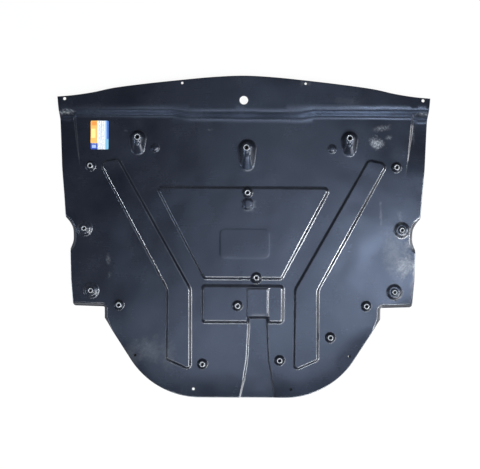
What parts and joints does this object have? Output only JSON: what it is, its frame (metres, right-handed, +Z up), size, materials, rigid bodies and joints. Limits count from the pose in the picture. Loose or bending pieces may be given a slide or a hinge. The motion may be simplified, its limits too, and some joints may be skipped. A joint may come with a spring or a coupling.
{
  "type": "engine splash shield",
  "caption": "Wide formed plastic sheet that closes the engine bay from below, with a raised front flange, V-shaped ribs, raised panels and hollow screw bosses.",
  "frame": {"origin": "middle of the shield's plan outline, on the plane that its lowest rolled edges rest on", "axes": "+X across the car, +Y towards the front flange, +Z up to the engine side"},
  "size_m": [1.04, 0.9, 0.035],
  "materials": {
    "black_plastic": "semi-gloss, moulded",
    "paper_label": "plain printed fields"
  },
  "bodies": {
    "root": {"splash_shield": "black_plastic", "label": "paper_label"}
  },
  "joints": []
}
